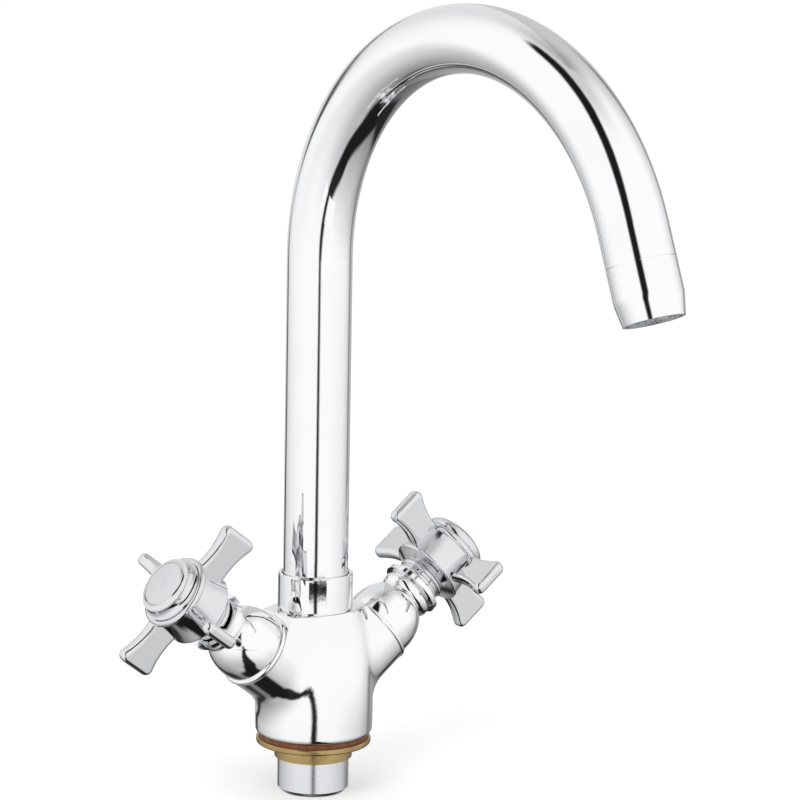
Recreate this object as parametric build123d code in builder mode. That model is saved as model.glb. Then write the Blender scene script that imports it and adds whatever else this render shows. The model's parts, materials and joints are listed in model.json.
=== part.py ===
from build123d import *
import os
from math import cos, radians, sin

# Two-handle kitchen mixer tap, in millimetres. +Z is up, and the origin is the centre of the deck
# plane, where the flange of the centring ring rests on the sink. The spout points to -Y, swivelled
# slightly to +X. The hot handle is the left one (-X, seen from the front), the cold one is at +X.
# A "station" is a distance along a handle's axis, counted from where the two handle axes meet.
# A "reach" is a distance along the outlet's axis, counted from the end of the spout tube.

os.makedirs("parts", exist_ok=True)

# Fits between pieces, as radial gaps
running_fit = 0.08
seat_fit = 0.05
free_gap = 0.35

# Deck ring, gasket and shank
ring_flange_radius = 21.3
ring_flange_height = 2.2
ring_spigot_radius = 14.45
ring_spigot_height = 5.3
ring_edge_round = 0.7
gasket_radius = 20.3
gasket_height = 1.6
shank_radius = 13.25
shank_length = 18.3
shank_chamfer = 1.5
shank_register_step = 0.3
inlet_thread_radius = 4.5
inlet_thread_depth = 12.0
inlet_spacing = 12.6
stud_thread_radius = 3.4
stud_thread_depth = 14.0
stud_offset = 7.9

# Mixer body
body_foot_radius = 21.6
body_belly_radius = 21.85
body_radius = 21.85
body_bottom_round = 2.1
column_height = 12.2
shoulder_rise = 18.0
shoulder_width = 23.5
shoulder_depth = 18.9
crown_rise = 17.2
crown_width = 19.0
crown_depth = 14.3
crown_edge_round = 0.7
cap_rise = 24.0
cap_width = 8.0
cap_depth = 7.0
blend_radius = 16.0
upstand_height = 7.0
upstand_wall = 3.4
socket_floor_drop = 10.4
waterway_radius = 2.9
transfer_radius = 2.5
transfer_offset = 8.2
transfer_depth = 5.2

# Arms of the body, which carry the two valves
arm_rise = 36.74
arm_meet_height = 18.5
arm_radius = 14.3
arm_end = 33.13
arm_overrun = 27.0
valve_bore_radius = 9.3
valve_seat = 15.5
valve_gallery_radius = 10.5
valve_gallery_start = 17.5
valve_gallery_length = 7.5
port_radius = 4.4
port_start = 7.5

# Spout
tube_radius = 12.0
tube_wall = 1.2
spout_turn = 1.5
spring_height = 181.9
arch_radius = 85.9
arch_angle = 158.8
outlet_straight = 12.0
foot_flange_height = 2.5
foot_spigot_length = 15.5
foot_plug_length = 12.0
foot_wall = 1.32
foot_ring_depth = 1.6
foot_ring_section = 0.78
foot_ring_spacing = 6.0
slide_washer_height = 0.8
collar_overhang = 1.87
collar_wall = 0.82
collar_gap = 0.6
collar_height = 12.8
collar_lip_height = 3.0
collar_edge = 0.35

# Outlet
nose_plug_length = 9.0
nose_thread_length = 7.0
nose_wall = 1.85
shell_seam = 0.2
shell_taper_start = 12.2
shell_taper_round = 14.0
shell_length = 19.7
shell_taper = 1.33
shell_thread_wall = 1.0
shell_ledge = 9.6
shell_barrel_wall = 1.8
shell_lip_width = 0.9
shell_lip_height = 2.0
outlet_seal_height = 1.4
insert_wall = 1.2
insert_floor = 2.0
insert_hole_radius = 0.85
insert_hole_pitch = 2.9
insert_ring_holes = 6
screen_height = 0.6
screen_station = 11.2
screen_hole_radius = 0.8

# Bonnet
bonnet_bead_radius = 14.65
bonnet_bead_width = 2.2
bonnet_groove_radius = 13.6
bonnet_bell_radius = 13.75
bonnet_bell_length = 3.4
bonnet_brow_radius = 12.7
bonnet_brow_station = 44.2
bonnet_neck_radius = 8.9
bonnet_neck_station = 50.2
bonnet_collar_radius = 10.3
bonnet_collar_length = 5.2
bonnet_flange_radius = 11.5
bonnet_flange_width = 1.8
bonnet_cavity_radius = 12.45
bonnet_cavity_depth = 8.6
bonnet_cone_length = 5.6
bonnet_web = 3.2

# Headwork: the brass valve insert with its ceramic discs
hex_across_flats = 21.0
hex_height = 5.4
stem_radius = 6.85
stem_end = 52.2
spindle_radius = 4.0
disc_chamber_radius = 7.1
disc_chamber_end = 24.8
disc_thickness = 2.2
disc_port_inner = 1.9
disc_port_outer = 5.7
disc_port_angle = 78.0
seat_seal_height = 2.5
seat_seal_protrusion = 1.1
window_width = 7.0
window_length = 3.2
headwork_seal_station = 31.4
headwork_seal_section = 0.55
spindle_flange_height = 2.2
spindle_seal_station = 30.0
spindle_seal_section = 0.5
tongue_length = 9.0
tongue_width = 3.0
tongue_depth = 1.2
clip_station = 53.0
clip_thickness = 0.8
clip_radius = 6.0
clip_groove_radius = 3.3
clip_opening = 4.0

# Handle
handle_gap = 0.8
handle_rear_ring_radius = 9.3
handle_rear_ring_width = 2.0
handle_groove_radius = 8.6
handle_groove_width = 0.8
handle_second_ring_radius = 9.5
handle_second_ring_width = 1.9
handle_flare_length = 1.9
handle_barrel_edge = 0.9
handle_barrel_rear_radius = 14.0
handle_barrel_waist_radius = 13.2
handle_barrel_length = 12.0
handle_barrel_front_radius = 12.9
handle_rim_radius = 13.95
handle_rim_width = 2.8
handle_front_groove_radius = 11.9
handle_front_groove_width = 0.6
handle_step_radius = 12.3
handle_step_width = 3.5
handle_step_bulge = 0.8
handle_step_front_radius = 10.7
handle_bezel_radius = 10.3
handle_bezel_width = 0.9
handle_bezel_bulge = 0.25
handle_socket_depth = 14.0
handle_web = 2.8
handle_fin_count = 4
fin_station = 71.9
fin_tip_radius = 31.0
fin_tip_half_width = 8.9
fin_waist_radius = 18.6
fin_waist_half_width = 5.8
fin_root_radius = 9.0
fin_root_half_width = 7.4
fin_thickness = 4.8
fin_corner_round = 2.6
fin_edge_round = 1.9
left_fin_turn = 15.9
right_fin_turn = 3.6
screw_head_radius = 3.5
screw_head_height = 2.8
screw_radius = 1.6
screw_length = 11.0
screw_slot_width = 1.0
screw_slot_depth = 1.2
index_radius = 8.4
index_edge = 1.9
index_dome = 0.3
index_plug_radius = 4.1
index_plug_length = 3.0

# Heights and radii that follow from the sizes above
body_bottom = ring_flange_height + gasket_height
column_top = body_bottom + column_height
shoulder_top = column_top + shoulder_rise
body_top = shoulder_top + crown_rise
cap_top = body_top + cap_rise
socket_floor = body_top - socket_floor_drop
upstand_top = body_top + upstand_height
collar_bottom = body_top + collar_gap
collar_lip_bottom = collar_bottom + collar_height - collar_lip_height
register_radius = shank_radius + shank_register_step
ring_bore_radius = register_radius + seat_fit
foot_flange_bottom = upstand_top + slide_washer_height
foot_flange_top = foot_flange_bottom + foot_flange_height
collar_radius = tube_radius + collar_overhang
collar_bore_radius = collar_radius - collar_wall
upstand_radius = collar_bore_radius - seat_fit
socket_radius = upstand_radius - upstand_wall
foot_spigot_radius = socket_radius - running_fit
foot_groove_radius = foot_spigot_radius - foot_ring_depth
foot_bore_radius = foot_groove_radius - foot_wall
tube_bore_radius = tube_radius - tube_wall
valve_gallery_end = valve_gallery_start + valve_gallery_length
fixed_disc_station = valve_seat + seat_seal_height
moving_disc_station = fixed_disc_station + disc_thickness
spindle_flange_station = moving_disc_station + disc_thickness
headwork_nose_station = valve_seat + seat_seal_protrusion
headwork_nose_radius = valve_bore_radius - seat_fit
stem_bore_radius = spindle_radius + running_fit
bonnet_neck_end = bonnet_neck_station + bonnet_collar_length
bonnet_end = bonnet_neck_end + bonnet_flange_width
handle_rear = bonnet_end + handle_gap
handle_barrel_start = (
    handle_rear
    + handle_rear_ring_width
    + handle_groove_width
    + handle_second_ring_width
    + handle_flare_length
)
handle_rim_start = handle_barrel_start + handle_barrel_length
handle_rim_end = handle_rim_start + handle_rim_width
handle_step_start = handle_rim_end + handle_front_groove_width
handle_bezel_start = handle_step_start + handle_step_width
handle_front = handle_bezel_start + handle_bezel_width
index_seat = handle_front - index_edge
spindle_end = handle_rear + handle_socket_depth
screw_seat = spindle_end + handle_web
shell_thread_radius = tube_radius - shell_thread_wall
shell_barrel_radius = tube_radius - shell_barrel_wall
shell_lip_radius = shell_barrel_radius - shell_lip_width
shell_outlet_radius = tube_radius - shell_taper
nose_plug_radius = tube_bore_radius - seat_fit
nose_bore_radius = nose_plug_radius - nose_wall
nose_thread_radius = shell_thread_radius - seat_fit
insert_radius = shell_barrel_radius - seat_fit
insert_end = shell_length - shell_lip_height


def arm_direction(side):
    """Outward direction of the handle axis on one side: -1 is left, +1 is right."""
    return Vector(side * cos(radians(arm_rise)), 0, sin(radians(arm_rise)))


def arm_axis(side):
    return Axis((0, 0, arm_meet_height), arm_direction(side))


def arm_profile(side):
    """Plane through a handle's axis: x is the station and y the radius, on the upper side."""
    return Plane(origin=(0, 0, arm_meet_height), x_dir=arm_direction(side), z_dir=(0, -side, 0))


def arm_section(side, station):
    """Plane across a handle's axis at a station: x points up the slope and z outwards."""
    up_slope = Vector(-side * sin(radians(arm_rise)), 0, cos(radians(arm_rise)))
    centre = Vector(0, 0, arm_meet_height) + arm_direction(side) * station
    return Plane(origin=centre, x_dir=up_slope, z_dir=arm_direction(side))


def fin_plane(side, turn):
    """Plane through a handle's axis that holds a fin, turned about the axis from the top."""
    section = arm_section(side, 0)
    towards_front = Vector(0, -1, 0)
    out_of_axis = section.x_dir * cos(radians(turn)) + towards_front * sin(radians(turn))
    return Plane(
        origin=section.origin,
        x_dir=arm_direction(side),
        z_dir=arm_direction(side).cross(out_of_axis),
    )


# The spout's plane: x runs forward from the riser and y is the height
spout_forward = Vector(sin(radians(spout_turn)), -cos(radians(spout_turn)), 0)
spout_plane = Plane(
    origin=(0, 0, 0),
    x_dir=spout_forward,
    z_dir=spout_forward.cross(Vector(0, 0, 1)),
)
with BuildLine(spout_plane) as spout_path:
    riser_line = Line((0, foot_flange_top), (0, spring_height))
    arch_line = JernArc(riser_line @ 1, riser_line % 1, arch_radius, -arch_angle)
    outlet_line = PolarLine(arch_line @ 1, outlet_straight, direction=arch_line % 1)
outlet_direction = outlet_line % 1
outlet_axis = Axis(outlet_line @ 1, outlet_direction)
# Plane through the outlet's axis: x is the reach beyond the tube and y the radius
outlet_profile = Plane(
    origin=outlet_line @ 1,
    x_dir=outlet_direction,
    z_dir=-spout_plane.z_dir,
)


def outlet_section(reach):
    """Plane across the outlet's axis at a reach beyond the end of the tube."""
    return Plane(origin=outlet_line @ 1 + outlet_direction * reach, z_dir=outlet_direction)


# Mixer body: one casting with column, crown, two arms, spout upstand and shank
with BuildPart() as mixer_body:
    for height, width, depth in (
        (body_bottom, body_foot_radius, body_foot_radius),
        (body_bottom + column_height / 2, body_belly_radius, body_belly_radius),
        (column_top, body_radius, body_radius),
        (shoulder_top, shoulder_width, shoulder_depth),
        (body_top, crown_width, crown_depth),
        (cap_top, cap_width, cap_depth),
    ):
        with BuildSketch(Plane.XY.offset(height)):
            Ellipse(depth, width, rotation=90)
    loft()
    for side in (-1, 1):
        with BuildSketch(arm_section(side, 0)):
            Circle(arm_radius)
        extrude(amount=arm_end + arm_overrun)
    # Cast blend between the arms and the column, made before the ends are faced off
    arm_sides = mixer_body.faces().filter_by(GeomType.CYLINDER)
    arm_roots = arm_sides.edges().filter_by(GeomType.BSPLINE)
    fillet(arm_roots, blend_radius)
    split(bisect_by=Plane.XY.offset(body_top), keep=Keep.BOTTOM)
    for side in (-1, 1):
        split(bisect_by=arm_section(side, arm_end), keep=Keep.BOTTOM)
    fillet(mixer_body.faces().sort_by(Axis.Z)[0].edges(), body_bottom_round)
    fillet(mixer_body.faces().sort_by(Axis.Z)[-1].edges(), crown_edge_round)
    # Upstand that carries the spout collar, and the shank with the ring's register through the deck
    with BuildSketch(Plane.XY.offset(body_top)):
        Circle(upstand_radius)
    extrude(amount=upstand_height)
    with BuildSketch(Plane.XY.offset(-ring_spigot_height)):
        Circle(register_radius)
    extrude(amount=ring_spigot_height + body_bottom)
    with BuildSketch(Plane.XY.offset(-shank_length)):
        Circle(shank_radius)
    extrude(amount=shank_length - ring_spigot_height)
    chamfer(mixer_body.faces().sort_by(Axis.Z)[0].edges(), shank_chamfer)
    # Spout socket
    with BuildSketch(Plane.XY.offset(upstand_top)):
        Circle(socket_radius)
    extrude(amount=-(upstand_height + socket_floor_drop), mode=Mode.SUBTRACT)
    # Tapped inlets with their waterways, and the tapped hole for the fixing stud
    with BuildSketch(Plane.XY.offset(-shank_length)):
        with GridLocations(inlet_spacing, 0, 2, 1):
            Circle(inlet_thread_radius)
    extrude(amount=inlet_thread_depth, mode=Mode.SUBTRACT)
    with BuildSketch(Plane.XY.offset(-shank_length)):
        with Locations((0, stud_offset)):
            Circle(stud_thread_radius)
    extrude(amount=stud_thread_depth, mode=Mode.SUBTRACT)
    with BuildSketch(Plane.XY.offset(-shank_length)):
        with GridLocations(inlet_spacing, 0, 2, 1):
            Circle(waterway_radius)
    inlet_port = arm_section(1, port_start).origin
    extrude(amount=shank_length + inlet_port.Z, mode=Mode.SUBTRACT)
    # Transfer holes from the valve galleries into the spout socket
    with BuildSketch(Plane.XY.offset(socket_floor)):
        with GridLocations(2 * transfer_offset, 0, 2, 1):
            Circle(transfer_radius)
    extrude(amount=-transfer_depth, mode=Mode.SUBTRACT)
    for side in (-1, 1):
        with BuildSketch(arm_profile(side)):
            with BuildLine():
                Polyline(
                    (port_start, 0),
                    (port_start, port_radius),
                    (valve_seat, port_radius),
                    (valve_seat, valve_bore_radius),
                    (valve_gallery_start, valve_bore_radius),
                    (valve_gallery_start, valve_gallery_radius),
                    (valve_gallery_end, valve_gallery_radius),
                    (valve_gallery_end, valve_bore_radius),
                    (arm_end, valve_bore_radius),
                    (arm_end, 0),
                    close=True,
                )
            make_face()
        revolve(axis=arm_axis(side), mode=Mode.SUBTRACT)
mixer_body.part.label = "mixer_body"
export_step(mixer_body.part, "parts/mixer_body.step")

# Centring ring: brass, a flange on the deck and a spigot in the deck's hole
with BuildPart() as centring_ring:
    with BuildSketch(Plane.XY):
        Circle(ring_flange_radius)
    extrude(amount=ring_flange_height)
    with BuildSketch(Plane.XY):
        Circle(ring_spigot_radius)
    extrude(amount=-ring_spigot_height)
    with BuildSketch(Plane.XY.offset(ring_flange_height)):
        Circle(ring_bore_radius)
    extrude(amount=-(ring_flange_height + ring_spigot_height), mode=Mode.SUBTRACT)
    flange_edges = centring_ring.edges().filter_by(GeomType.CIRCLE).group_by(SortBy.RADIUS)[-1]
    fillet(flange_edges, ring_edge_round)
centring_ring.part.label = "centring_ring"
export_step(centring_ring.part, "parts/centring_ring.step")

# Base gasket, between the ring and the body
with BuildPart() as base_gasket:
    with BuildSketch(Plane.XY.offset(ring_flange_height)):
        Circle(gasket_radius)
        Circle(ring_bore_radius, mode=Mode.SUBTRACT)
    extrude(amount=gasket_height)
base_gasket.part.label = "base_gasket"
export_step(base_gasket.part, "parts/base_gasket.step")

# Spout collar: the union nut on the upstand, whose lip holds the spout down
with BuildPart() as spout_collar:
    with BuildSketch(Plane.XY.offset(collar_bottom)):
        Circle(collar_radius)
        Circle(collar_bore_radius, mode=Mode.SUBTRACT)
    extrude(amount=collar_height - collar_lip_height)
    with BuildSketch(Plane.XY.offset(collar_lip_bottom)):
        Circle(collar_radius)
        Circle(tube_radius + free_gap, mode=Mode.SUBTRACT)
    extrude(amount=collar_lip_height)
    chamfer(spout_collar.faces().sort_by(Axis.Z)[-1].edges(), collar_edge)
spout_collar.part.label = "spout_collar"
export_step(spout_collar.part, "parts/spout_collar.step")

# Slide washer: the spout's flange turns on it
with BuildPart() as slide_washer:
    with BuildSketch(Plane.XY.offset(upstand_top)):
        Circle(upstand_radius)
        Circle(foot_spigot_radius + free_gap, mode=Mode.SUBTRACT)
    extrude(amount=slide_washer_height)
slide_washer.part.label = "slide_washer"
export_step(slide_washer.part, "parts/slide_washer.step")

# Spout tube: riser, gooseneck arch and short straight end, one bent tube
with BuildPart() as spout_tube:
    with BuildSketch(Plane.XY.offset(foot_flange_top)):
        Circle(tube_radius)
        Circle(tube_bore_radius, mode=Mode.SUBTRACT)
    sweep(path=spout_path.wires()[0])
spout_tube.part.label = "spout_tube"
export_step(spout_tube.part, "parts/spout_tube.step")

# Spout foot: brass insert with a spigot in the socket, a flange and a plug in the tube
foot_bottom = foot_flange_bottom - foot_spigot_length
foot_ring_heights = [
    foot_bottom + foot_ring_spacing / 2 + index * foot_ring_spacing for index in range(2)
]
with BuildPart() as spout_foot:
    with BuildSketch(Plane.XY.offset(foot_bottom)):
        Circle(foot_spigot_radius)
    extrude(amount=foot_spigot_length)
    with BuildSketch(Plane.XY.offset(foot_flange_bottom)):
        Circle(collar_bore_radius - free_gap)
    extrude(amount=foot_flange_height)
    with BuildSketch(Plane.XY.offset(foot_flange_top)):
        Circle(tube_bore_radius - seat_fit)
    extrude(amount=foot_plug_length)
    with BuildSketch(Plane.XY.offset(foot_bottom)):
        Circle(foot_bore_radius)
    extrude(
        amount=foot_spigot_length + foot_flange_height + foot_plug_length,
        mode=Mode.SUBTRACT,
    )
    for height in foot_ring_heights:
        with BuildSketch(Plane.XY.offset(height - foot_ring_section - seat_fit)):
            Circle(foot_spigot_radius)
            Circle(foot_groove_radius, mode=Mode.SUBTRACT)
        extrude(amount=2 * (foot_ring_section + seat_fit), mode=Mode.SUBTRACT)
spout_foot.part.label = "spout_foot"
export_step(spout_foot.part, "parts/spout_foot.step")

# Spout seals: two O-rings in the foot's grooves
foot_ring_centre = (foot_groove_radius + foot_spigot_radius) / 2
with BuildPart() as spout_seals:
    with BuildSketch(Plane.XZ):
        with Locations(*[(foot_ring_centre, height) for height in foot_ring_heights]):
            Circle(foot_ring_section)
    revolve(axis=Axis.Z)
spout_seals.part.label = "spout_seals"
export_step(spout_seals.part, "parts/spout_seals.step")

# Spout nose: threaded sleeve fixed in the end of the tube
with BuildPart() as spout_nose:
    with BuildSketch(outlet_section(-nose_plug_length)):
        Circle(nose_plug_radius)
    extrude(amount=nose_plug_length)
    with BuildSketch(outlet_section(0)):
        Circle(nose_thread_radius)
    extrude(amount=nose_thread_length)
    with BuildSketch(outlet_section(-nose_plug_length)):
        Circle(nose_bore_radius)
    extrude(amount=nose_plug_length + nose_thread_length, mode=Mode.SUBTRACT)
spout_nose.part.label = "spout_nose"
export_step(spout_nose.part, "parts/spout_nose.step")

# Outlet seal, between the nose and the aerator
with BuildPart() as outlet_seal:
    with BuildSketch(outlet_section(nose_thread_length)):
        Circle(nose_thread_radius)
        Circle(nose_bore_radius, mode=Mode.SUBTRACT)
    extrude(amount=outlet_seal_height)
outlet_seal.part.label = "outlet_seal"
export_step(outlet_seal.part, "parts/outlet_seal.step")

# Aerator shell: flush with the tube, tapered at its end
with BuildPart() as aerator_shell:
    with BuildSketch(outlet_profile):
        with BuildLine():
            Polyline(
                (shell_seam, tube_radius),
                (shell_taper_start, tube_radius),
                (shell_length, shell_outlet_radius),
                (shell_length, shell_lip_radius),
                (insert_end, shell_lip_radius),
                (insert_end, shell_barrel_radius),
                (shell_ledge, shell_barrel_radius),
                (shell_ledge, shell_thread_radius),
                (shell_seam, shell_thread_radius),
                close=True,
            )
        make_face()
    revolve(axis=outlet_axis)
    taper_edge = aerator_shell.edges().filter_by(GeomType.CIRCLE).group_by(SortBy.RADIUS)[-1]
    fillet(taper_edge.sort_by(outlet_axis)[-1], shell_taper_round)
aerator_shell.part.label = "aerator_shell"
export_step(aerator_shell.part, "parts/aerator_shell.step")

# Aerator insert: a cup with a perforated floor
insert_start = nose_thread_length + outlet_seal_height
with BuildPart() as aerator_insert:
    with BuildSketch(outlet_section(insert_start)):
        Circle(nose_thread_radius)
    extrude(amount=shell_ledge - insert_start)
    with BuildSketch(outlet_section(shell_ledge)):
        Circle(insert_radius)
    extrude(amount=insert_end - shell_ledge)
    with BuildSketch(outlet_section(insert_start)):
        Circle(insert_radius - insert_wall)
    extrude(amount=insert_end - insert_floor - insert_start, mode=Mode.SUBTRACT)
    with BuildSketch(outlet_section(insert_end)):
        Circle(insert_hole_radius)
        for ring in (1, 2):
            with PolarLocations(ring * insert_hole_pitch, insert_ring_holes * ring):
                Circle(insert_hole_radius)
    extrude(amount=-insert_floor, mode=Mode.SUBTRACT)
aerator_insert.part.label = "aerator_insert"
export_step(aerator_insert.part, "parts/aerator_insert.step")

# Aerator screen: perforated plate across the insert
with BuildPart() as aerator_screen:
    with BuildSketch(outlet_section(screen_station)):
        Circle(insert_radius - insert_wall - seat_fit)
        Circle(screen_hole_radius, mode=Mode.SUBTRACT)
        for ring in (1, 2):
            with PolarLocations(ring * insert_hole_pitch, insert_ring_holes * ring):
                Circle(screen_hole_radius, mode=Mode.SUBTRACT)
    extrude(amount=screen_height)
aerator_screen.part.label = "aerator_screen"
export_step(aerator_screen.part, "parts/aerator_screen.step")


for side, hand, fin_turn in ((-1, "left", left_fin_turn), (1, "right", right_fin_turn)):
    # Seat seal: presses the fixed disc's waterway onto the body's port
    with BuildPart() as seat_seal:
        with BuildSketch(arm_section(side, valve_seat)):
            Circle(disc_chamber_radius - seat_fit)
            Circle(port_radius, mode=Mode.SUBTRACT)
        extrude(amount=seat_seal_height)
    seat_seal.part.label = f"{hand}_seat_seal"
    export_step(seat_seal.part, f"parts/{hand}_seat_seal.step")

    # Ceramic discs: the moving one is shut at rest, its ports a quarter turn from the fixed ones
    for name, station, radius, port_turn in (
        ("fixed_disc", fixed_disc_station, disc_chamber_radius - seat_fit, 0),
        ("moving_disc", moving_disc_station, disc_chamber_radius - free_gap, 90),
    ):
        with BuildPart() as ceramic_disc:
            with BuildSketch(arm_section(side, station)):
                Circle(radius)
                for port_middle in (port_turn, port_turn + 180):
                    first_angle = port_middle - disc_port_angle / 2
                    with BuildLine():
                        inner_arc = CenterArc((0, 0), disc_port_inner, first_angle, disc_port_angle)
                        outer_arc = CenterArc((0, 0), disc_port_outer, first_angle, disc_port_angle)
                        Line(inner_arc @ 0, outer_arc @ 0)
                        Line(inner_arc @ 1, outer_arc @ 1)
                    make_face(mode=Mode.SUBTRACT)
            extrude(amount=disc_thickness)
            # The slot for the spindle's tongue is cut in the moving disc's outer face only
            if station == moving_disc_station:
                with BuildSketch(arm_section(side, spindle_flange_station)):
                    Rectangle(tongue_length + 2 * seat_fit, tongue_width + 2 * seat_fit)
                extrude(amount=-tongue_depth, mode=Mode.SUBTRACT)
        ceramic_disc.part.label = f"{hand}_{name}"
        export_step(ceramic_disc.part, f"parts/{hand}_{name}.step")

    # Headwork: nose in the body's bore, hexagon on the arm's end, stem for the bonnet
    with BuildPart() as headwork:
        with BuildSketch(arm_section(side, headwork_nose_station)):
            Circle(headwork_nose_radius)
        extrude(amount=arm_end - headwork_nose_station)
        with BuildSketch(arm_section(side, arm_end)):
            RegularPolygon(hex_across_flats / 2, 6, major_radius=False)
        extrude(amount=hex_height)
        with BuildSketch(arm_section(side, arm_end + hex_height)):
            Circle(stem_radius)
        extrude(amount=stem_end - arm_end - hex_height)
        with BuildSketch(arm_section(side, headwork_nose_station)):
            Circle(disc_chamber_radius)
        extrude(amount=disc_chamber_end - headwork_nose_station, mode=Mode.SUBTRACT)
        with BuildSketch(arm_section(side, disc_chamber_end)):
            Circle(stem_bore_radius)
        extrude(amount=stem_end - disc_chamber_end, mode=Mode.SUBTRACT)
        with BuildSketch(arm_section(side, moving_disc_station)):
            Rectangle(2 * valve_bore_radius, window_width)
        extrude(amount=window_length, mode=Mode.SUBTRACT)
        seal_half = headwork_seal_section + seat_fit
        with BuildSketch(arm_section(side, headwork_seal_station - seal_half)):
            Circle(headwork_nose_radius)
            Circle(valve_bore_radius - 2 * seal_half, mode=Mode.SUBTRACT)
        extrude(amount=2 * seal_half, mode=Mode.SUBTRACT)
    headwork.part.label = f"{hand}_headwork"
    export_step(headwork.part, f"parts/{hand}_headwork.step")

    # Headwork seal: O-ring between the headwork and the body's bore
    with BuildPart() as headwork_seal:
        with BuildSketch(arm_profile(side)):
            with Locations((headwork_seal_station, valve_bore_radius - seal_half)):
                Circle(headwork_seal_section)
        revolve(axis=arm_axis(side))
    headwork_seal.part.label = f"{hand}_headwork_seal"
    export_step(headwork_seal.part, f"parts/{hand}_headwork_seal.step")

    # Spindle: tongue in the moving disc, flange, shaft and a tapped end for the handle
    groove_radius = stem_bore_radius - 2 * spindle_seal_section - seat_fit
    with BuildPart() as spindle:
        with BuildSketch(arm_section(side, spindle_flange_station)):
            Circle(disc_chamber_radius - free_gap)
        extrude(amount=spindle_flange_height)
        with BuildSketch(arm_section(side, spindle_flange_station)):
            Rectangle(tongue_length, tongue_width)
        extrude(amount=-tongue_depth)
        with BuildSketch(arm_section(side, spindle_flange_station)):
            Circle(spindle_radius)
        extrude(amount=spindle_end - spindle_flange_station)
        with BuildSketch(arm_section(side, spindle_end)):
            Circle(screw_radius + seat_fit)
        extrude(amount=-(screw_length - handle_web + screw_radius), mode=Mode.SUBTRACT)
        with BuildSketch(arm_section(side, spindle_seal_station - spindle_seal_section - seat_fit)):
            Circle(spindle_radius)
            Circle(groove_radius, mode=Mode.SUBTRACT)
        extrude(amount=2 * (spindle_seal_section + seat_fit), mode=Mode.SUBTRACT)
        with BuildSketch(arm_section(side, clip_station - clip_thickness / 2)):
            Circle(spindle_radius)
            Circle(clip_groove_radius, mode=Mode.SUBTRACT)
        extrude(amount=clip_thickness, mode=Mode.SUBTRACT)
    spindle.part.label = f"{hand}_spindle"
    export_step(spindle.part, f"parts/{hand}_spindle.step")

    # Spindle seal: O-ring that turns with the spindle
    with BuildPart() as spindle_seal:
        with BuildSketch(arm_profile(side)):
            with Locations((spindle_seal_station, (groove_radius + stem_bore_radius) / 2)):
                Circle(spindle_seal_section)
        revolve(axis=arm_axis(side))
    spindle_seal.part.label = f"{hand}_spindle_seal"
    export_step(spindle_seal.part, f"parts/{hand}_spindle_seal.step")

    # Spindle clip: open ring that keeps the spindle in the stem
    with BuildPart() as spindle_clip:
        with BuildSketch(arm_section(side, clip_station - clip_thickness / 2)):
            Circle(clip_radius)
            Circle(clip_groove_radius + seat_fit, mode=Mode.SUBTRACT)
            with Locations((clip_radius, 0)):
                Rectangle(2 * clip_radius, clip_opening, mode=Mode.SUBTRACT)
        extrude(amount=clip_thickness)
    spindle_clip.part.label = f"{hand}_spindle_clip"
    export_step(spindle_clip.part, f"parts/{hand}_spindle_clip.step")

    # Bonnet: turned cover over the headwork, with bead, bell, neck and flange
    bead_end = arm_end + bonnet_bead_width
    bell_station = bead_end + bonnet_bell_length
    cavity_end = arm_end + bonnet_cavity_depth
    with BuildPart() as bonnet:
        with BuildSketch(arm_profile(side)):
            with BuildLine():
                ThreePointArc(
                    (arm_end, bonnet_groove_radius),
                    (arm_end + bonnet_bead_width / 2, bonnet_bead_radius),
                    (bead_end, bonnet_groove_radius),
                )
                bell = ThreePointArc(
                    (bead_end, bonnet_groove_radius),
                    (bell_station, bonnet_bell_radius),
                    (bonnet_brow_station, bonnet_brow_radius),
                )
                TangentArc(bell @ 1, (bonnet_neck_station, bonnet_neck_radius), tangent=bell % 1)
                ThreePointArc(
                    (bonnet_neck_station, bonnet_neck_radius),
                    (bonnet_neck_station + bonnet_collar_length / 2, bonnet_collar_radius),
                    (bonnet_neck_end, bonnet_neck_radius),
                )
                Polyline(
                    (bonnet_neck_end, bonnet_neck_radius),
                    (bonnet_neck_end, bonnet_flange_radius),
                    (bonnet_end, bonnet_flange_radius),
                    (bonnet_end, spindle_radius + free_gap),
                    (bonnet_end - bonnet_web, spindle_radius + free_gap),
                    (bonnet_end - bonnet_web, stem_radius + seat_fit),
                    (cavity_end + bonnet_cone_length, stem_radius + seat_fit),
                    (cavity_end, bonnet_cavity_radius),
                    (arm_end, bonnet_cavity_radius),
                    (arm_end, bonnet_groove_radius),
                )
            make_face()
        revolve(axis=arm_axis(side))
    bonnet.part.label = f"{hand}_bonnet"
    export_step(bonnet.part, f"parts/{hand}_bonnet.step")

    # Handle: turned hub with four flat fins, waisted and flared towards their tips
    rear_ring_end = handle_rear + handle_rear_ring_width
    groove_end = rear_ring_end + handle_groove_width
    second_ring_end = groove_end + handle_second_ring_width
    with BuildPart() as handle:
        for index in range(handle_fin_count):
            turn = fin_turn + index * 360 / handle_fin_count
            with BuildSketch(fin_plane(side, turn)) as fin_outline:
                with BuildLine():
                    Line(
                        (fin_station - fin_root_half_width, fin_root_radius),
                        (fin_station + fin_root_half_width, fin_root_radius),
                    )
                    ThreePointArc(
                        (fin_station + fin_root_half_width, fin_root_radius),
                        (fin_station + fin_waist_half_width, fin_waist_radius),
                        (fin_station + fin_tip_half_width, fin_tip_radius),
                    )
                    Line(
                        (fin_station + fin_tip_half_width, fin_tip_radius),
                        (fin_station - fin_tip_half_width, fin_tip_radius),
                    )
                    ThreePointArc(
                        (fin_station - fin_tip_half_width, fin_tip_radius),
                        (fin_station - fin_waist_half_width, fin_waist_radius),
                        (fin_station - fin_root_half_width, fin_root_radius),
                    )
                make_face()
                fillet(fin_outline.vertices().group_by(Axis.Y)[-1], fin_corner_round)
            extrude(amount=fin_thickness / 2, both=True)
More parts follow.
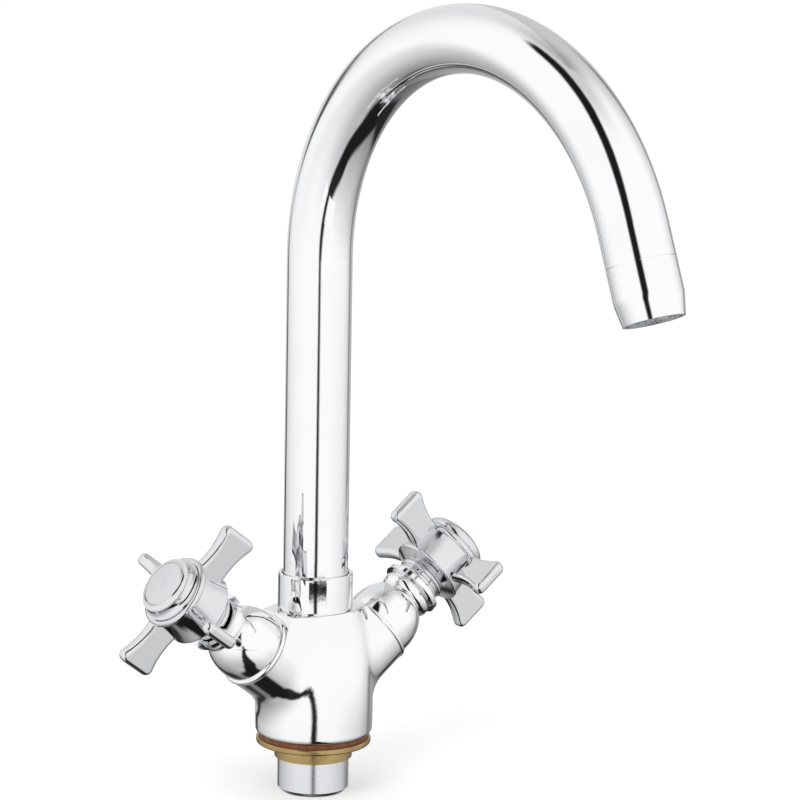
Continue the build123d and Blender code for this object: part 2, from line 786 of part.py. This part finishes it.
        # All edges of the fins are rounded except the ones at their roots, inside the hub
        fin_faces = handle.faces().group_by(SortBy.AREA)[-1]
        fin_edges = fin_faces.edges().sort_by_distance(arm_section(side, fin_station).origin)
        fillet(fin_edges[2 * handle_fin_count :], fin_edge_round)
        with BuildSketch(arm_profile(side)):
            with BuildLine():
                Line((handle_rear, spindle_radius + seat_fit), (handle_rear, handle_groove_radius))
                ThreePointArc(
                    (handle_rear, handle_groove_radius),
                    (handle_rear + handle_rear_ring_width / 2, handle_rear_ring_radius),
                    (rear_ring_end, handle_groove_radius),
                )
                Line((rear_ring_end, handle_groove_radius), (groove_end, handle_groove_radius))
                ThreePointArc(
                    (groove_end, handle_groove_radius),
                    (groove_end + handle_second_ring_width / 2, handle_second_ring_radius),
                    (second_ring_end, handle_groove_radius),
                )
                Line(
                    (second_ring_end, handle_groove_radius),
                    (handle_barrel_start, handle_barrel_rear_radius - handle_barrel_edge),
                )
                RadiusArc(
                    (handle_barrel_start, handle_barrel_rear_radius - handle_barrel_edge),
                    (handle_barrel_start + handle_barrel_edge, handle_barrel_rear_radius),
                    handle_barrel_edge,
                )
                ThreePointArc(
                    (handle_barrel_start + handle_barrel_edge, handle_barrel_rear_radius),
                    (handle_barrel_start + handle_barrel_length / 2, handle_barrel_waist_radius),
                    (handle_rim_start, handle_barrel_front_radius),
                )
                ThreePointArc(
                    (handle_rim_start, handle_barrel_front_radius),
                    (handle_rim_start + handle_rim_width / 2, handle_rim_radius),
                    (handle_rim_end, handle_barrel_front_radius),
                )
                Polyline(
                    (handle_rim_end, handle_barrel_front_radius),
                    (handle_rim_end, handle_front_groove_radius),
                    (handle_step_start, handle_front_groove_radius),
                    (handle_step_start, handle_step_radius),
                )
                SagittaArc(
                    (handle_step_start, handle_step_radius),
                    (handle_bezel_start, handle_step_front_radius),
                    side * handle_step_bulge,
                )
                Line(
                    (handle_bezel_start, handle_step_front_radius),
                    (handle_bezel_start, handle_bezel_radius),
                )
                SagittaArc(
                    (handle_bezel_start, handle_bezel_radius),
                    (handle_front, index_radius + seat_fit),
                    side * handle_bezel_bulge,
                )
                Polyline(
                    (handle_front, index_radius + seat_fit),
                    (index_seat, index_radius + seat_fit),
                    (index_seat, index_plug_radius + seat_fit),
                    (screw_seat, index_plug_radius + seat_fit),
                    (screw_seat, screw_radius + free_gap),
                    (spindle_end, screw_radius + free_gap),
                    (spindle_end, spindle_radius + seat_fit),
                    (handle_rear, spindle_radius + seat_fit),
                )
            make_face()
        revolve(axis=arm_axis(side))
    handle.part.label = f"{hand}_handle"
    export_step(handle.part, f"parts/{hand}_handle.step")

    # Handle screw, through the hub's web into the spindle
    with BuildPart() as handle_screw:
        with BuildSketch(arm_section(side, screw_seat)):
            Circle(screw_head_radius)
        extrude(amount=screw_head_height)
        with BuildSketch(arm_section(side, screw_seat)):
            Circle(screw_radius)
        extrude(amount=-screw_length)
        with BuildSketch(arm_section(side, screw_seat + screw_head_height)):
            Rectangle(2 * screw_head_radius, screw_slot_width)
        extrude(amount=-screw_slot_depth, mode=Mode.SUBTRACT)
    handle_screw.part.label = f"{hand}_handle_screw"
    export_step(handle_screw.part, f"parts/{hand}_handle_screw.step")

    # Index cap: plain domed disc with a plug, pressed into the front of the hub
    with BuildPart() as index_cap:
        with BuildSketch(arm_profile(side)):
            with BuildLine():
                Polyline(
                    (index_seat - index_plug_length, 0),
                    (index_seat - index_plug_length, index_plug_radius),
                    (index_seat, index_plug_radius),
                    (index_seat, index_radius),
                    (handle_front, index_radius),
                )
                TangentArc(
                    (handle_front + index_dome, 0),
                    (handle_front, index_radius),
                    tangent=(0, 1),
                )
                Line((handle_front + index_dome, 0), (index_seat - index_plug_length, 0))
            make_face()
        revolve(axis=arm_axis(side))
    index_cap.part.label = f"{hand}_index_cap"
    export_step(index_cap.part, f"parts/{hand}_index_cap.step")
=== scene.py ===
import json
import math

import bmesh
import bpy
from mathutils import Matrix, Vector


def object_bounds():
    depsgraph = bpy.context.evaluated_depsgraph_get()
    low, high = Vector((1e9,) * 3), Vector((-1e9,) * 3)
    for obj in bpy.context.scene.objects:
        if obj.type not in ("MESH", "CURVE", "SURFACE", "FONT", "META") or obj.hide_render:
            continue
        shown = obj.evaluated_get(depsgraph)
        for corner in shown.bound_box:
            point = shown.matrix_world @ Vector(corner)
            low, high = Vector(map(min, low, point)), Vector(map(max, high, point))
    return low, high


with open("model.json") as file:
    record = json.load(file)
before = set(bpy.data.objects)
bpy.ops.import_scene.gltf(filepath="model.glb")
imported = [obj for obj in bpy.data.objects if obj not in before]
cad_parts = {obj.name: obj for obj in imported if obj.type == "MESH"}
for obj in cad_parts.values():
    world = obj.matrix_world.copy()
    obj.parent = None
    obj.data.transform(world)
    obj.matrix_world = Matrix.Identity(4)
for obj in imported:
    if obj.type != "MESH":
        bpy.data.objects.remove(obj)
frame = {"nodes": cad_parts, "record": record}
nodes = frame["nodes"]
cad_box = [list(corner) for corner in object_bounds()]

MM = 0.001

# ---------------------------------------------------------------- camera
# The photograph's camera, as the least-squares fit of the model to the photograph came out
CAMERA_BEARING = math.radians(-36.562)
CAMERA_PITCH = math.radians(10.899)
CAMERA_YAW = math.radians(1.287)
CAMERA_ROLL = math.radians(1.013)
CAMERA_DISTANCE = 1336.06 * MM
CAMERA_HEIGHT = 386.62 * MM
FOCAL_LENGTH_PIXELS = 3724.39
PHOTO_WIDTH_PIXELS = 800
SENSOR_WIDTH = 36
CLIP_RANGE = (0.05, 20)

towards_camera = Vector((math.sin(CAMERA_BEARING), -math.cos(CAMERA_BEARING), 0))
camera_right = Vector((math.cos(CAMERA_BEARING), math.sin(CAMERA_BEARING), 0))


def turned(first, second, angle):
    """Two axes at right angles, both turned from the first towards the second."""
    return (
        first * math.cos(angle) + second * math.sin(angle),
        second * math.cos(angle) - first * math.sin(angle),
    )


def camera_of_the_photograph():
    forward, right, up = -towards_camera, camera_right, Vector((0, 0, 1))
    forward, right = turned(forward, right, CAMERA_YAW)
    forward, up = turned(forward, up, -CAMERA_PITCH)
    right, up = turned(right, up, CAMERA_ROLL)
    place = towards_camera * CAMERA_DISTANCE + Vector((0, 0, CAMERA_HEIGHT))
    data = bpy.data.cameras.new("photo_camera")
    data.sensor_width = SENSOR_WIDTH
    data.lens = FOCAL_LENGTH_PIXELS / PHOTO_WIDTH_PIXELS * SENSOR_WIDTH
    data.clip_start, data.clip_end = CLIP_RANGE
    camera = bpy.data.objects.new("photo_camera", data)
    bpy.context.scene.collection.objects.link(camera)
    camera.matrix_world = Matrix(
        (
            (right.x, up.x, -forward.x, place.x),
            (right.y, up.y, -forward.y, place.y),
            (right.z, up.z, -forward.z, place.z),
            (0, 0, 0, 1),
        )
    )
    bpy.context.scene.camera = camera


camera_of_the_photograph()


# ---------------------------------------------------------------- nodes
def node_tree(owner):
    owner.use_nodes = True
    tree = owner.node_tree
    tree.nodes.clear()
    return tree


def add(tree, kind, **settings):
    node = tree.nodes.new("ShaderNode" + kind)
    for key, value in settings.items():
        setattr(node, key, value)
    return node


def noise(tree, vector, scale, detail=4.0, roughness=0.55):
    node = add(tree, "TexNoise")
    node.inputs["Scale"].default_value = scale
    node.inputs["Detail"].default_value = detail
    node.inputs["Roughness"].default_value = roughness
    tree.links.new(vector, node.inputs["Vector"])
    return node.outputs["Fac"]


def remap(tree, value, low, high, to_low, to_high):
    node = add(tree, "MapRange")
    node.inputs["From Min"].default_value = low
    node.inputs["From Max"].default_value = high
    node.inputs["To Min"].default_value = to_low
    node.inputs["To Max"].default_value = to_high
    tree.links.new(value, node.inputs["Value"])
    return node.outputs["Result"]


def maths(tree, operation, first, second):
    node = add(tree, "Math", operation=operation)
    tree.links.new(first, node.inputs[0])
    tree.links.new(second, node.inputs[1])
    return node.outputs["Value"]


def stretched(tree, vector, scale):
    node = add(tree, "Mapping")
    node.inputs["Scale"].default_value = scale
    tree.links.new(vector, node.inputs["Vector"])
    return node.outputs["Vector"]


def mix_colour(tree, factor, first, second):
    """Mix two colours, each a tuple or the output of a node."""
    node = add(tree, "Mix", data_type="RGBA")
    tree.links.new(factor, node.inputs["Factor"])
    for socket, value in ((node.inputs["A"], first), (node.inputs["B"], second)):
        if isinstance(value, tuple):
            socket.default_value = (*value, 1)
        else:
            tree.links.new(value, socket)
    return node.outputs["Result"]


# ---------------------------------------------------------------- finishes
PATCH_SCALE = 40.0
SMEAR_TO_PATCH_SCALE = 2.3
# Parts of the noise's range over which patches, smears and hairline scratches set in
PATCH_RANGE = (0.35, 0.65)
SMEAR_RANGE = (0.35, 0.75)
HAIR_RANGE = (0.62, 0.72)
HAIR_STRETCH = (900, 900, 60)


def surface(name, colour, other, metallic, rough, bump_scale, bump_height, patch_scale=PATCH_SCALE):
    """One finish: two colours in soft patches, a bump in mm, and roughness with smears and scratches.

    The three numbers of rough are its least and most in the smears, and what a scratch adds.
    """
    least, most, scratch = rough
    material = bpy.data.materials.new(name)
    tree = node_tree(material)
    out = add(tree, "OutputMaterial")
    shader = add(tree, "BsdfPrincipled")
    tree.links.new(shader.outputs[0], out.inputs[0])
    place = add(tree, "TexCoord").outputs["Object"]
    patches = remap(tree, noise(tree, place, patch_scale), *PATCH_RANGE, 0, 1)
    tree.links.new(mix_colour(tree, patches, colour, other), shader.inputs["Base Color"])
    smears = noise(tree, place, patch_scale * SMEAR_TO_PATCH_SCALE)
    smears = remap(tree, smears, *SMEAR_RANGE, least, most)
    hairs = noise(tree, stretched(tree, place, HAIR_STRETCH), 1.0, 2.0)
    hairs = remap(tree, hairs, *HAIR_RANGE, 0, scratch)
    tree.links.new(maths(tree, "ADD", smears, hairs), shader.inputs["Roughness"])
    shader.inputs["Metallic"].default_value = metallic
    bump = add(tree, "Bump")
    bump.inputs["Strength"].default_value = 1
    bump.inputs["Distance"].default_value = bump_height * MM
    tree.links.new(noise(tree, place, bump_scale), bump.inputs["Height"])
    tree.links.new(bump.outputs[0], shader.inputs["Normal"])
    return material


def metal(name, colour, other, *texture):
    return surface(name, colour, other, 1, *texture)


def non_metal(name, colour, other, *texture):
    return surface(name, colour, other, 0, *texture)


SATIN_COLOUR = (0.7, 0.71, 0.735)
SATIN_ROUGHNESS = (0.15, 0.25)
SATIN_RANGE = (0.3, 0.7)
TURNING_MARKS = (30, 30, 2500)
SATIN_BLEND = 1 * MM


def body_finish():
    """Bright chrome on the casting, turning into satin plating with turning marks below the deck."""
    material = metal(
        "cast_chrome", (0.87, 0.875, 0.885), (0.85, 0.86, 0.875), (0.02, 0.05, 0.03), 70, 0.04
    )
    tree = material.node_tree
    shader = next(n for n in tree.nodes if n.type == "BSDF_PRINCIPLED")
    place = next(n for n in tree.nodes if n.type == "TEX_COORD").outputs["Object"]
    bright_roughness = shader.inputs["Roughness"].links[0].from_socket
    bright_colour = shader.inputs["Base Color"].links[0].from_socket
    split = add(tree, "SeparateXYZ")
    tree.links.new(place, split.inputs[0])
    below = remap(tree, split.outputs["Z"], 0.0, SATIN_BLEND, 1, 0)
    marks = noise(tree, stretched(tree, place, TURNING_MARKS), 1.0)
    roughness = add(tree, "Mix", data_type="FLOAT")
    tree.links.new(below, roughness.inputs["Factor"])
    tree.links.new(bright_roughness, roughness.inputs["A"])
    tree.links.new(remap(tree, marks, *SATIN_RANGE, *SATIN_ROUGHNESS), roughness.inputs["B"])
    tree.links.new(roughness.outputs["Result"], shader.inputs["Roughness"])
    colour = mix_colour(tree, below, bright_colour, SATIN_COLOUR)
    tree.links.new(colour, shader.inputs["Base Color"])
    return material


chrome = metal(
    "bright_chrome", (0.88, 0.885, 0.895), (0.86, 0.868, 0.88), (0.02, 0.05, 0.03), 60, 0.02
)
finishes = {
    "chrome_body": body_finish(),
    "chrome_tube": chrome,
    "chrome_trim": chrome,
    # The handles' chrome has a darker base than the body's. This is painted shade standing in for the
    # greyer reflections on the fins' flat faces.
    "chrome_handle": metal(
        "handle_chrome_painted_shade", (0.72, 0.73, 0.745), (0.69, 0.7, 0.72), (0.04, 0.09, 0.04), 110, 0.04
    ),
    "index_metal": metal(
        "index_satin", (0.7, 0.71, 0.73), (0.66, 0.67, 0.69), (0.2, 0.3, 0.05), 500, 0.01
    ),
    "ring_brass": metal(
        "ring_brass", (0.46, 0.335, 0.15), (0.34, 0.24, 0.1), (0.22, 0.4, 0.1), 400, 0.03, 90
    ),
    "bare_brass": metal(
        "machined_brass", (0.78, 0.6, 0.27), (0.7, 0.52, 0.22), (0.2, 0.35, 0.08), 600, 0.02
    ),
    "gasket_fibre": non_metal(
        "gasket_fibre", (0.27, 0.09, 0.035), (0.17, 0.055, 0.025), (0.6, 0.8, 0.05), 1500, 0.08, 300
    ),
    "black_rubber": non_metal(
        "black_rubber", (0.02, 0.02, 0.022), (0.03, 0.03, 0.03), (0.45, 0.65, 0.05), 900, 0.03
    ),
    "white_acetal": non_metal(
        "white_acetal", (0.83, 0.83, 0.8), (0.8, 0.8, 0.77), (0.35, 0.5, 0.05), 700, 0.02
    ),
    "insert_plastic": non_metal(
        "insert_plastic", (0.3, 0.31, 0.32), (0.25, 0.255, 0.265), (0.3, 0.45, 0.05), 700, 0.02
    ),
    "screen_steel": metal(
        "screen_steel", (0.6, 0.61, 0.62), (0.55, 0.56, 0.57), (0.3, 0.42, 0.08), 900, 0.02
    ),
    "clip_steel": metal(
        "clip_steel", (0.55, 0.55, 0.56), (0.5, 0.5, 0.51), (0.3, 0.42, 0.08), 900, 0.02
    ),
    "ceramic_disc": non_metal(
        "ceramic_disc", (0.88, 0.88, 0.86), (0.85, 0.85, 0.83), (0.12, 0.2, 0.03), 900, 0.005
    ),
}
for part in frame["record"]["subparts"]:
    mesh = nodes[part["node"]].data
    mesh.materials.clear()
    mesh.materials.append(finishes[part["material_slot"]])

# ---------------------------------------------------------------- floor and backdrop
FLOOR_HEIGHT = cad_box[0][2] - 0.2 * MM
FLOOR_REACH = 15
FLOOR_COLOUR = (0.93, 0.93, 0.93, 1)
FLOOR_LIFT = 0.27
SKY_ON_SURFACES = 0.78
SKY_AS_SEEN = 1.0


def seen_rays(tree):
    """1 for rays from the camera, or from it by way of metal or glass, and 0 for light on a surface."""
    path = add(tree, "LightPath")
    seen = maths(tree, "MAXIMUM", path.outputs["Is Camera Ray"], path.outputs["Is Glossy Ray"])
    return maths(tree, "MAXIMUM", seen, path.outputs["Is Transmission Ray"])


def floor_material():
    """Pale floor: its lit colour keeps the shadow, and a lift makes the rest as white as the backdrop."""
    material = bpy.data.materials.new("floor")
    tree = node_tree(material)
    out = add(tree, "OutputMaterial")
    lit = add(tree, "BsdfDiffuse")
    lit.inputs["Color"].default_value = FLOOR_COLOUR
    lift = add(tree, "Emission")
    tree.links.new(remap(tree, seen_rays(tree), 0, 1, 0, FLOOR_LIFT), lift.inputs["Strength"])
    both = add(tree, "AddShader")
    tree.links.new(lit.outputs[0], both.inputs[0])
    tree.links.new(lift.outputs[0], both.inputs[1])
    tree.links.new(both.outputs[0], out.inputs[0])
    return material


def lay_floor():
    mesh = bpy.data.meshes.new("floor")
    corners = [
        (x * FLOOR_REACH, y * FLOOR_REACH, FLOOR_HEIGHT) for x, y in ((-1, -1), (1, -1), (1, 1), (-1, 1))
    ]
    mesh.from_pydata(corners, [], [(0, 1, 2, 3)])
    mesh.materials.append(floor_material())
    floor = bpy.data.objects.new("floor", mesh)
    bpy.context.scene.collection.objects.link(floor)
    floor.visible_glossy = False


def white_world():
    world = bpy.data.worlds.new("studio")
    bpy.context.scene.world = world
    tree = node_tree(world)
    out = add(tree, "OutputWorld")
    sky = add(tree, "Background")
    sky.inputs["Color"].default_value = (1, 1, 1, 1)
    strength = remap(tree, seen_rays(tree), 0, 1, SKY_ON_SURFACES, SKY_AS_SEEN)
    tree.links.new(strength, sky.inputs["Strength"])
    tree.links.new(sky.outputs[0], out.inputs[0])


# ---------------------------------------------------------------- what the chrome reflects
# Dark strips of the light tent: (bearing, elevation, half width) along each, in degrees,
# how soft its edge is, in degrees, and its tone. A later strip is laid over an earlier one.
TENT_FLAGS = (
    # From level in front up to high on the left
    (((-13, 4, 9), (-15, 30, 10), (-16, 48, 10), (-26, 64, 10), (-55, 71, 9), (-88, 68, 7)), 6, 0.012),
    # From level in front downwards
    (((0, -5, 3), (1, -14, 5), (1, -28, 6), (6, -42, 10), (18, -56, 13)), 6, 0.02),
    # Low down, round the right side
    (((18, -64, 12), (50, -76, 14), (95, -76, 14), (128, -66, 10)), 7, 0.012),
    # Behind on the right: the low one, then the one about level, which is grey
    (((146, -30, 5), (145, -45, 10), (142, -60, 8)), 7, 0.02),
    (((150, 26, 6), (148, 8, 5), (134, -8, 5), (138, -22, 5)), 12, 0.2),
    # Behind on the left: the one about level, then the low one
    (((-132, 3, 5), (-137, 7, 4), (-163, 15, 2)), 8, 0.03),
    (((-140, -8, 4), (-150, -18, 6), (-150, -40, 7), (-147, -60, 8)), 9, 0.03),
    # Straight below
    (((0, -90, 10),), 10, 0.012),
)
FLAG_STEPS = 12
# What the cloth loses: (amount, angle where it starts, degrees it takes). On each side the first
# is the loss behind the tap, and the second the loss low down, which sets in over LOW_BLEND degrees.
RIGHT_LOSSES = ((0.42, 92, 60), (0.34, 30, 90))
LEFT_LOSSES = ((0.25, 95, 60), (0.36, 45, 80))
LOW_BLEND = 25
OVERHEAD_LOSS = (0.38, 55, 28)
BELOW_LOSS = (0.5, 16, 50)
TENT_RADIUS = 4.0
TENT_CENTRE = Vector((0, -0.05, 0.1))
TENT_STEP = 2.0
TENT_GLOW = 1.1
FLAG_BLACK = (0.01, 0.01, 0.011, 1)


def direction(bearing, elevation):
    """Unit vector by bearing (0 towards the camera, + to its right) and elevation, in degrees."""
    b, e = math.radians(bearing), math.radians(elevation)
    flat = towards_camera * math.cos(b) + camera_right * math.sin(b)
    return flat * math.cos(e) + Vector((0, 0, math.sin(e)))


def smooth(value):
    value = min(max(value, 0.0), 1.0)
    return value * value * (3 - 2 * value)


def loss(angle, amount, start, width):
    """Brightness lost at an angle: none up to the start, and the whole amount a width further on."""
    return amount * smooth((angle - start) / width)


def tent_cloth(bearing, elevation):
    """Brightness of the tent's cloth: white in front, greyer behind, overhead and low down."""
    behind, low_at_side = RIGHT_LOSSES if bearing > 0 else LEFT_LOSSES
    tone = 1 - loss(abs(bearing), *behind)
    tone -= loss(abs(bearing), *low_at_side) * smooth(-elevation / LOW_BLEND)
    tone *= 1 - loss(elevation, *OVERHEAD_LOSS)
    tone *= 1 - loss(-elevation, *BELOW_LOSS)
    return tone


def flags_in_steps():
    """The strips as places with a half width each, close enough to read as one strip."""
    flags = []
    for path, softness, dark in TENT_FLAGS:
        places = []
        for first, last in zip(path, path[1:] or path):
            for step in range(FLAG_STEPS + 1):
                t = step / FLAG_STEPS
                ray = direction(*first[:2]).lerp(direction(*last[:2]), t).normalized()
                places.append((ray, first[2] + (last[2] - first[2]) * t))
        flags.append((places, softness, dark))
    return flags


def tent_tone(bearing, elevation, flags):
    """Brightness of the tent in one direction, with the strips laid over its cloth."""
    ray = direction(bearing, elevation)
    tone = tent_cloth(bearing, elevation)
    for places, softness, dark in flags:
        gap = min(math.degrees(ray.angle(place)) - half for place, half in places)
        tone = dark + (tone - dark) * smooth((gap + softness / 2) / softness)
    return tone


def cloth_material():
    """Glowing cloth, with its brightness in the mesh's tone."""
    material = bpy.data.materials.new("tent_cloth")
    tree = node_tree(material)
    out = add(tree, "OutputMaterial")
    glow = add(tree, "Emission")
    tone = add(tree, "Attribute", attribute_name="tone")
    tree.links.new(tone.outputs["Color"], glow.inputs["Color"])
    glow.inputs["Strength"].default_value = TENT_GLOW
    tree.links.new(glow.outputs[0], out.inputs[0])
    material.cycles.emission_sampling = "NONE"
    return material


def black_material():
    material = bpy.data.materials.new("flag_black")
    tree = node_tree(material)
    out = add(tree, "OutputMaterial")
    shader = add(tree, "BsdfDiffuse")
    shader.inputs["Color"].default_value = FLAG_BLACK
    tree.links.new(shader.outputs[0], out.inputs[0])
    return material


def seen_in_chrome_alone(name, mesh, material):
    """Put a mesh in the studio so that only the tap's reflections show it."""
    data = bpy.data.meshes.new(name)
    mesh.to_mesh(data)
    mesh.free()
    data.materials.append(material)
    obj = bpy.data.objects.new(name, data)
    bpy.context.scene.collection.objects.link(obj)
    obj.visible_camera = False
    obj.visible_diffuse = False
    obj.visible_shadow = False
    obj.visible_transmission = False
    obj.visible_volume_scatter = False


def light_tent(flags, cloth):
    """A tent of cloth round the tap."""
    mesh = bmesh.new()
    tone_layer = mesh.verts.layers.float.new("tone")
    columns = int(360 / TENT_STEP)
    rows = []
    for row in range(int(180 / TENT_STEP) + 1):
        elevation = -90 + row * TENT_STEP
        ring = []
        for column in range(columns):
            bearing = -180 + column * TENT_STEP
            vertex = mesh.verts.new(direction(bearing, elevation) * TENT_RADIUS + TENT_CENTRE)
            vertex[tone_layer] = tent_tone(bearing, elevation, flags)
            ring.append(vertex)
        rows.append(ring)
    for low, high in zip(rows, rows[1:]):
        for column in range(columns):
            after = (column + 1) % columns
            mesh.faces.new((low[column], high[column], high[after], low[after]))
    seen_in_chrome_alone("light_tent", mesh, cloth)


# The black strip that makes the collar's dark square, and its hood
COLLAR_FLAG_RADIUS = 600 * MM
COLLAR_FLAG_BEARINGS = (-19, 35)
COLLAR_FLAG_STEPS = 28
COLLAR_FLAG_ELEVATION = -14
HOOD_DEPTH = 300 * MM
# Height of the strip's lower and upper edge, and how far the hood rises from it towards the tap
COLLAR_FLAG_EDGES = ((-88.9 * MM, 70 * MM), (-78.5 * MM, 80 * MM))


def collar_flag(flags, cloth):
    """A black strip before the tap, with a hood of cloth that hides it from all but the collar."""
    strip, hood = bmesh.new(), bmesh.new()
    tone_layer = hood.verts.layers.float.new("tone")
    first, last = COLLAR_FLAG_BEARINGS
    strip_rows = []
    for height, rise in COLLAR_FLAG_EDGES:
        strip_row, outer, inner = [], [], []
        for step in range(COLLAR_FLAG_STEPS + 1):
            bearing = first + (last - first) * step / COLLAR_FLAG_STEPS
            flat = direction(bearing, 0)
            edge = flat * COLLAR_FLAG_RADIUS + Vector((0, 0, height))
            mouth = flat * (COLLAR_FLAG_RADIUS - HOOD_DEPTH) + Vector((0, 0, height + rise))
            strip_row.append(strip.verts.new(edge))
            outer.append(hood.verts.new(edge))
            inner.append(hood.verts.new(mouth))
            tone = tent_tone(bearing, COLLAR_FLAG_ELEVATION, flags)
            outer[-1][tone_layer] = tone
            inner[-1][tone_layer] = tone
        strip_rows.append(strip_row)
        for step in range(COLLAR_FLAG_STEPS):
            hood.faces.new((outer[step], outer[step + 1], inner[step + 1], inner[step]))
    low, high = strip_rows
    for step in range(COLLAR_FLAG_STEPS):
        strip.faces.new((low[step], low[step + 1], high[step + 1], high[step]))
    seen_in_chrome_alone("collar_flag", strip, black_material())
    seen_in_chrome_alone("collar_flag_hood", hood, cloth)


# ---------------------------------------------------------------- lamp
KEY_PLACE = Vector((-1.2, -0.8, 1.7))
KEY_AIM = Vector((0, -0.05, 0.1))
KEY_SIZE = 0.9
KEY_WATTS = 9


def key_lamp():
    """The one lamp: it casts the soft shadow on the floor and isn't seen in the chrome."""
    data = bpy.data.lights.new("key", "AREA")
    data.shape = "RECTANGLE"
    data.size, data.size_y = KEY_SIZE, KEY_SIZE
    data.energy = KEY_WATTS
    lamp = bpy.data.objects.new("key", data)
    bpy.context.scene.collection.objects.link(lamp)
    lamp.location = KEY_PLACE
    lamp.rotation_mode = "QUATERNION"
    lamp.rotation_quaternion = (KEY_AIM - KEY_PLACE).to_track_quat("-Z", "Y")
    lamp.visible_camera = False
    lamp.visible_glossy = False


lay_floor()
tent_flags = flags_in_steps()
tent_material = cloth_material()
light_tent(tent_flags, tent_material)
collar_flag(tent_flags, tent_material)
white_world()
key_lamp()

bpy.context.scene.view_settings.view_transform = "Standard"
